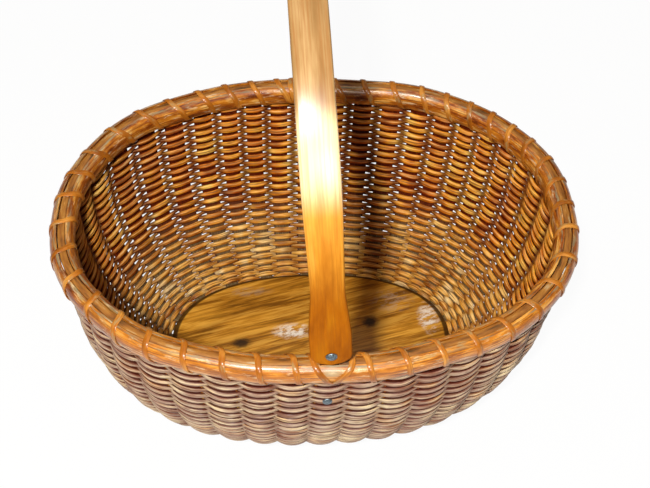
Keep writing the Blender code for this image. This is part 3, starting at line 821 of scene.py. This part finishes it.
# %% Hoops
hoop_steps = 480
hoop_points = 15
corner_angle = np.arccos((wall_half_gap / (wall_half_gap + outer_hoop_thickness)) ** (rim_fullness / 2))
around_outside = np.linspace(corner_angle, -corner_angle, hoop_points)
around_inside = np.linspace(pi - corner_angle, pi + corner_angle, hoop_points)
hoop_distance = rim_length * right_part + np.linspace(0, rim_length, hoop_steps + 1)
for name, angles in (("outer_hoop", around_outside), ("inner_hoop", around_inside)):
    out, up = rim_outline(np.append(angles, angles[0]))
    rows = rim_points(hoop_distance[:, None], out[None, :], up[None, :])
    hoop = close_piece(lay_grid(name, rows))
    seat(hoop, "basket", "hoop_wood", hoop_wood, "rim_" + name)
print("hoops %.1f mm high" % (2000 * rim_half_height))

# %% [markdown]
# ## Filler
#
# A thin rattan strip covers the stave tips in the groove between the hoops. It lies against the
# inner hoop, so a dark slit stays open on its outer side.

# %% Finish: filler
filler_cane, filler_shader = new_finish("filler_cane", 0.5)
filler_patch = grain(surface_uv(filler_shader), (300, 45, 1), 4, 0.6)
filler_colour = ramp(filler_patch, [(0.32, "3E3018"), (0.45, "8A5420"), (0.58, "A8702C"),
                                    (0.72, "B8A680")])
paint(filler_shader, filler_colour, filler_patch, 0.0002, 0.4)

# %% Filler
filler_width = 0.0042
filler_height = 0.0026
filler_shift = -0.0001
filler_sink = 0.0005
filler_steps = 200
ear_neck_half_width = 0.005
filler_section = flat_oval(10, 2.4)
for name, start in (("right", 0.0), ("left", rim_length / 2)):
    stop = start + rim_length / 2
    ends = counted(np.array((start + ear_neck_half_width, stop - ear_neck_half_width)))
    reach = np.linspace(ends[0], ends[1], filler_steps)
    out = filler_shift + filler_width * filler_section[:, 0]
    up = rim_top - filler_sink - filler_height / 2 + filler_height * filler_section[:, 1]
    rows = rim_points(reach[:, None], out[None, :], up[None, :])
    strip = close_piece(lay_grid("filler_strip_" + name, rows))
    seat(strip, "basket", "filler_cane", filler_cane, "rim_filler_" + name)

# %% [markdown]
# ## Lashing
#
# A flat strip of cane is wound round both hoops and through the wall, once for every gap between
# two staves. Seen from outside each turn leans the same way, and at each ear two turns meet in a V
# under the rim. The path is the rim's own outline, walked from the bottom up the inside, over the
# top and down the outside, while the distance along the rim moves on by a table of shares.

# %% Finish: lashing
lashing_cane, lash_shader = new_finish("lashing_cane", 0.36, 0.35, 0.2, 0.15)
lash_uv = surface_uv(lash_shader)
lash_grain = grain(lash_uv, (1900, 40, 1), 4, 0.6)
lash_patch = grain(lash_uv, (80, 55, 1), 3, 0.55)
greyed = between(grain(lash_uv, (300, 120, 1), 4, 0.65), 0.52, 0.66)
lash_colour = laid_over(ramp(lash_patch, [(0.3, "8A4A0C"), (0.5, "B86C1C"), (0.68, "DC963E")]),
                        (ramp(lash_grain, [(0.38, 0.45), (0.58, 0.0)]), "7C420A"),
                        (times(greyed, 0.6), "A08E62"))
paint(lash_shader, lash_colour, lash_grain, 0.0002, 0.4)

# %% Lashing
lashing_width = 0.0032
lashing_thickness = 0.0006
lashing_lift = 0.00035
lashing_section = flat_oval(8, 3.2)
steps_per_turn = 44
plain_turn = ((0, -0.62), (0.08, -0.5), (0.25, -0.28), (0.45, -0.01), (0.5, 0.03), (0.6, 0.07),
              (0.75, 0.13), (0.92, 0.24), (1, 0.38))
left_arm = ((0, -0.62), (0.25, -0.6), (0.45, -0.5), (0.58, -0.38), (0.66, -0.28), (0.75, -0.12),
            (0.86, 0.1), (0.93, 0.2), (1, 0.36))
right_arm = ((0, 0.36), (0.25, 0.5), (0.45, 0.62), (0.55, 0.6), (0.63, 0.5), (0.75, 0.24),
             (0.86, 0.05), (0.93, 0.1), (1, 0.38))
ear_staves = (right_stave_count, stave_count)


def turn_path(table, stave):
    """Angles round the rim and places along it, in stave pitches, of one turn over a stave."""
    share = np.arange(steps_per_turn) / steps_per_turn
    shares, values = zip(*table)
    return 3 * pi / 2 - 2 * pi * share, stave + np.interp(share, shares, values)


def smoothed(values, reach):
    """Each value blended with its neighbours up to a reach, apart from those at the ends."""
    kernel = np.hanning(2 * reach + 1)
    values[reach:-reach] = np.convolve(values, kernel / kernel.sum(), mode="valid")
    return values


turns = []
for stave in range(1, stave_count + 1):
    tables = (left_arm, right_arm) if stave in ear_staves else (plain_turn,)
    turns += [turn_path(table, stave) for table in tables]
print("lashing turns:", len(turns))
angle = np.concatenate([first for first, _ in turns])
along = smoothed(np.concatenate([second for _, second in turns]), 3)
middle = rim_points(along * stave_pitch, *rim_outline(angle, lashing_lift))
further = rim_points(along * stave_pitch, *rim_outline(angle, 2 * lashing_lift))
forward = unit(np.gradient(middle, axis=0))
wide = unit(np.cross(unit(further - middle), forward))
thick = np.cross(forward, wide)
rows = sweep(middle, wide * lashing_width, thick * lashing_thickness, lashing_section)
lashing = close_piece(lay_grid("lashing_strip", rows))
seat(lashing, "basket", "lashing_cane", lashing_cane, "rim_lashing")

# %% [markdown]
# ## Ears
#
# Each ear is a wooden tongue: a round eye that carries the handle, a neck through the rim, and a
# thin tapering tail riveted inside the wall. It is a cylinder and two boxes joined by Booleans,
# with its edges broken by a bevel.

# %% Finish: ears
ear_wood, ear_shader = new_finish("ear_wood", 0.45, 0.2)
ear_grain = grain(in_space(ear_shader), (900, 900, 45), 4, 0.6)
ear_brown = ramp(ear_grain, [(0.3, "6A300E"), (0.55, "9A5420"), (0.75, "B87434")])
paint(ear_shader, ear_brown, ear_grain, 0.0002, 0.4)

# %% Ears
pivot_height = frame["joints"][0]["pos_m"][2]
rim_half_width = half_width + flare
ear_thickness = 0.005
ear_tail_thickness = 0.0026
ear_inner_face = -wall_half_gap - ear_tail_thickness
eye_radius = 0.0068
disc_corners = 40
ear_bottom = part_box("ear_front")[0].z
ear_tip_share = 0.62
ear_edge = 0.0006
shoulder_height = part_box("rim_filler_right")[0].z


def combine(piece, other, how):
    """Apply a Boolean with another object and remove that object."""
    step = piece.modifiers.new("combine", "BOOLEAN")
    step.operation = how
    step.object = other
    apply_all(piece)
    bpy.data.objects.remove(other, do_unlink=True)


def block(low, high):
    middle = [(a + b) / 2 for a, b in zip(low, high)]
    bpy.ops.mesh.primitive_cube_add(size=1.0, location=middle, scale=[b - a for a, b in zip(low, high)])
    bpy.ops.object.transform_apply()
    return bpy.context.object


def disc(radius, low, high, height):
    """A cylinder along Y between two depths at a height."""
    bpy.ops.mesh.primitive_cylinder_add(vertices=disc_corners, radius=radius, depth=high - low,
                                        location=(0.0, (low + high) / 2, height),
                                        rotation=(radians(90), 0.0, 0.0))
    bpy.ops.object.transform_apply()
    return bpy.context.object


def make_ear(side, word):
    """The ear at the front, where side is -1, or at the back, where it is +1."""
    rim_y = side * rim_half_width
    inner = rim_y + side * ear_inner_face
    low, high = sorted((inner, inner + side * ear_thickness))
    ear = disc(eye_radius, low, high, pivot_height)
    neck = block((-ear_neck_half_width, low, shoulder_height), (ear_neck_half_width, high, pivot_height))
    combine(ear, neck, "UNION")
    low, high = sorted((inner, rim_y - side * wall_half_gap))
    tail = block((-ear_neck_half_width, low, ear_bottom),
                 (ear_neck_half_width, high, shoulder_height + ear_edge))
    for vertex in tail.data.vertices:
        if vertex.co.z < rim_bottom:
            vertex.co.x *= ear_tip_share
    combine(ear, tail, "UNION")
    break_edges(ear, ear_edge, 2, radians(40))
    ear.name = word + "_ear"
    seat(ear, "basket", "ear_wood", ear_wood, "ear_" + word)


both_sides = ((-1, "front"), (1, "back"))
for side, word in both_sides:
    make_ear(side, word)

# %% [markdown]
# ## Handle
#
# The handle is one strip of wood bent into an arch. It is broad at its rounded ends, narrow just
# above them and even over the top. The strip's edges are rounded over and its outer face is
# slightly crowned, so that it catches the light in a long soft streak. A cream band is also
# painted on the wood as a painted highlight where the glare lies.

# %% Handle sizes
handle_thickness = 0.005
handle_full_width = 0.0206
handle_edge_round = 0.0015
handle_crown = 0.0002
crown_shares = (0.6, 0.3, 0.0, -0.3, -0.6)
end_below_pivot = 0.0082
handle_end_power = 2.6
handle_least_half = handle_edge_round * 0.4
handle_clearance = 0.0003
handle_inner_face = ear_inner_face + ear_thickness + handle_clearance
handle_lean = radians(4)
handle_rise = 0.156
handle_width_shares = ((0.0, 1.0), (0.057, 0.99), (0.088, 0.89), (0.13, 0.755), (0.188, 0.78),
                       (0.24, 0.83), (0.28, 0.835), (0.34, 0.815), (0.5, 0.815))
handle_steps = 150
handle_end_steps = 12
half_span = rim_half_width + handle_inner_face + handle_thickness / 2
low_end = pivot_height - end_below_pivot
leg = pivot_height + handle_rise - handle_thickness / 2 - half_span - low_end
arc = pi * half_span
handle_length = 2 * leg + arc
print("handle strip %.1f mm" % (1000 * handle_length))

# %% Finish: handle
handle_wood, handle_shader = new_finish("handle_wood", 0.5, 0.6, 0.3, 0.02)
handle_uv = surface_uv(handle_shader)
handle_along = axis_of(handle_uv, "Y")
handle_grain = grain(handle_uv, (1100, 22, 1), 6, 0.62, 0.25)
handle_patch = grain(handle_uv, (120, 20, 1), 4, 0.55)
top_colour = ramp(handle_patch, [(0.3, "84643A"), (0.5, "A27E50"), (0.7, "BA9868")])
middle_colour = ramp(handle_patch, [(0.3, "C87C22"), (0.5, "E09A34"), (0.7, "F0B450")])
end_colour = ramp(handle_patch, [(0.3, "8E4602"), (0.5, "B46404"), (0.7, "C87C0A")])
to_tip = reckon("MINIMUM", reckon("SUBTRACT", handle_length, handle_along), handle_along)
# Painted highlight: a cream band on each leg of the handle, where the glare of the lamps lies.
painted_glare = times(between(to_tip, 0.100, 0.118), between(to_tip, 0.150, 0.136))
handle_colour = laid_over(middle_colour,
                          (between(to_tip, 0.105, 0.045), end_colour),
                          (between(to_tip, 0.125, 0.15), top_colour),
                          (times(painted_glare, 0.75), "F6E2B4"),
                          (ramp(handle_grain, [(0.36, 0.4), (0.58, 0.0)]), "8A4A0E"))
polish = times(between(to_tip, 0.08, 0.11), between(to_tip, 0.165, 0.138, 0.15, 1.0))
handle_wood.node_tree.links.new(times(polish, 0.8), handle_shader.inputs["Coat Weight"])
paint(handle_shader, handle_colour, handle_grain, 0.0003, 0.35)

# %% Handle
tip = end_below_pivot * (1 - np.cos(np.linspace(0, pi / 2, handle_end_steps)))
leg_stops = np.linspace(end_below_pivot, handle_length / 2, handle_steps // 2)
half_stops = np.append(tip[:-1], leg_stops)
stops = np.append(half_stops, handle_length - half_stops[-2::-1])
bend = np.clip((stops - leg) / arc, 0, 1) * pi
below = np.maximum(leg - stops, 0) + np.maximum(stops - leg - arc, 0)
handle_middle = np.column_stack((np.zeros(len(stops)), -half_span * np.cos(bend),
                                 low_end + leg + half_span * np.sin(bend) - below))
handle_out = np.column_stack((np.zeros(len(stops)), -np.cos(bend), np.sin(bend)))
from_end = np.minimum(stops, handle_length - stops)
shares, widths = zip(*handle_width_shares)
width_stops = np.linspace(0, 0.5, 200)
smooth_widths = smoothed(np.interp(width_stops, shares, widths), 7)
half = handle_full_width / 2 * np.interp(from_end / handle_length, width_stops, smooth_widths)
inset = np.clip(1 - from_end / end_below_pivot, 0, 1)
half = half * np.sqrt(np.maximum(1 - inset ** handle_end_power, 0))
half = np.maximum(half, handle_least_half)
radius = np.minimum(handle_edge_round, half * 0.98)

columns = []
for quarter, sign_x, sign_y in ((0, 1, 1), (1, -1, 1), (2, -1, -1), (3, 1, -1)):
    for step in np.linspace(0, pi / 2, 5) + quarter * pi / 2:
        across = sign_x * (half - radius) + radius * np.cos(step)
        depth = sign_y * (handle_thickness / 2 - handle_edge_round) + handle_edge_round * np.sin(step)
        columns.append((across, depth))
    if quarter in (0, 2):
        for share in crown_shares:
            crown = handle_crown * (1 - share ** 2) if sign_y > 0 else 0.0
            columns.append(((half - radius) * share * sign_x, sign_y * handle_thickness / 2 + crown))
columns.append(columns[0])
depths = np.array([depth for _, depth in columns])
rows = handle_middle[:, None, :] + depths[None, :, None] * handle_out[:, None, :]
rows[..., 0] += np.stack([across for across, _ in columns], axis=1)
tilt = np.array(Matrix.Rotation(-handle_lean, 3, "Y"))
pivot = np.array((0.0, 0.0, pivot_height))
rows = (rows - pivot) @ tilt.T + pivot
handle_piece = close_piece(lay_grid("swing_handle", rows))
seat(handle_piece, "handle", "handle_wood", handle_wood, "handle")

# %% [markdown]
# ## Rivets and burrs
#
# An iron rivet joins the handle to each ear, hammered over a small washer that riveters call a
# burr. A smaller rivet holds each ear's tail to the wall. Each starts as a cylinder for the shank,
# and its two end faces are extruded and scaled in a few steps into domed heads.

# %% Finish: iron
iron, iron_shader = new_finish("rivet_iron", 0.38)
iron_shader.inputs["Metallic"].default_value = 0.85
iron_spots = noise(in_space(iron_shader), 900.0, 4.0, 0.6)
iron_grey = ramp(iron_spots, [(0.3, "3E4648"), (0.5, "66727A"), (0.7, "9CA8AC")])
paint(iron_shader, iron_grey, iron_spots, 0.0003, 0.5)

# %% Rivets
dome_steps = ((1.0, 0.3), (0.9, 0.3), (0.7, 0.25), (0.4, 0.15))
end_face_slope = 0.9
rivet_smooth_angle = radians(60)
rivet_corners = 28
pivot_shank = 0.0016
pivot_rivet_stands_out = 0.0003
pivot_inner_head = (0.0023, 0.0009)
pivot_outer_head = (0.0029, 0.0013)
tail_shank = 0.0013
tail_head = (0.0027, 0.0011)
sink = 0.0002
burr_thickness = 0.001
burr_radius = 0.0035
burr_hole = 0.0017


def raise_dome(piece, end, radius, height, shank):
    """Extrude one end face of an upright shank into a domed head."""
    bpy.ops.object.mode_set(mode="EDIT")
    bpy.ops.mesh.select_mode(type="FACE")
    bpy.ops.mesh.select_all(action="DESELECT")
    bpy.ops.object.mode_set(mode="OBJECT")
    reach = max(vertex.co.z * end for vertex in piece.data.vertices)
    for polygon in piece.data.polygons:
        level = polygon.normal.z * end > end_face_slope
        polygon.select = level and polygon.center.z * end > reach - weld
    centre = Vector((0.0, 0.0, reach * end))
    bpy.ops.object.mode_set(mode="EDIT")
    bpy.ops.mesh.extrude_region_move(TRANSFORM_OT_translate={"value": (0.0, 0.0, 0.0)})
    bpy.ops.transform.resize(value=(radius / shank, radius / shank, 1.0), center_override=centre)
    width = 1.0
    for share, step in dome_steps:
        rise = Vector((0.0, 0.0, end * height * step))
        bpy.ops.mesh.extrude_region_move(TRANSFORM_OT_translate={"value": rise})
        centre = centre + rise
        bpy.ops.transform.resize(value=(share / width, share / width, 1.0), center_override=centre)
        width = share
    bpy.ops.object.mode_set(mode="OBJECT")


def make_rivet(name, node, side, height, shank, inner, outer_face, inner_head, outer_head):
    """Inner and outer_face are depths from the rim line, and a head is a radius and a height."""
    bpy.ops.object.select_all(action="DESELECT")
    bpy.ops.mesh.primitive_cylinder_add(vertices=rivet_corners, radius=shank, depth=outer_face - inner)
    rivet = bpy.context.object
    raise_dome(rivet, 1, *outer_head, shank)
    raise_dome(rivet, -1, *inner_head, shank)
    rivet.name = name
    rivet.rotation_euler = (radians(-90) * side, 0.0, 0.0)
    rivet.location = (0.0, side * (rim_half_width + (inner + outer_face) / 2), height)
    bpy.ops.object.transform_apply()
    close_piece(rivet, rivet_smooth_angle)
    seat(rivet, "basket", "rivet_iron", iron, node)


ear_rivet_height = sum(corner.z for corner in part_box("ear_rivet_front")) / 2
for side, word in both_sides:
    make_rivet("pivot_rivet_" + word, "handle_rivet_" + word, side, pivot_height, pivot_shank,
               ear_inner_face - burr_thickness - pivot_rivet_stands_out,
               handle_inner_face + handle_thickness + pivot_rivet_stands_out,
               pivot_inner_head, pivot_outer_head)
    make_rivet("tail_rivet_" + word, "ear_rivet_" + word, side, ear_rivet_height, tail_shank,
               ear_inner_face - sink, wall_half_gap, tail_head, tail_head)
    burr_face = side * (rim_half_width + ear_inner_face - sink)
    low, high = sorted((burr_face, burr_face - side * burr_thickness))
    burr = disc(burr_radius, low, high, pivot_height)
    hole = disc(burr_hole, low - burr_thickness, high + burr_thickness, pivot_height)
    combine(burr, hole, "DIFFERENCE")
    break_edges(burr, burr_thickness / 4, 2, radians(30))
    burr.name = "burr_" + word
    seat(burr, "basket", "rivet_iron", iron, "handle_burr_" + word)
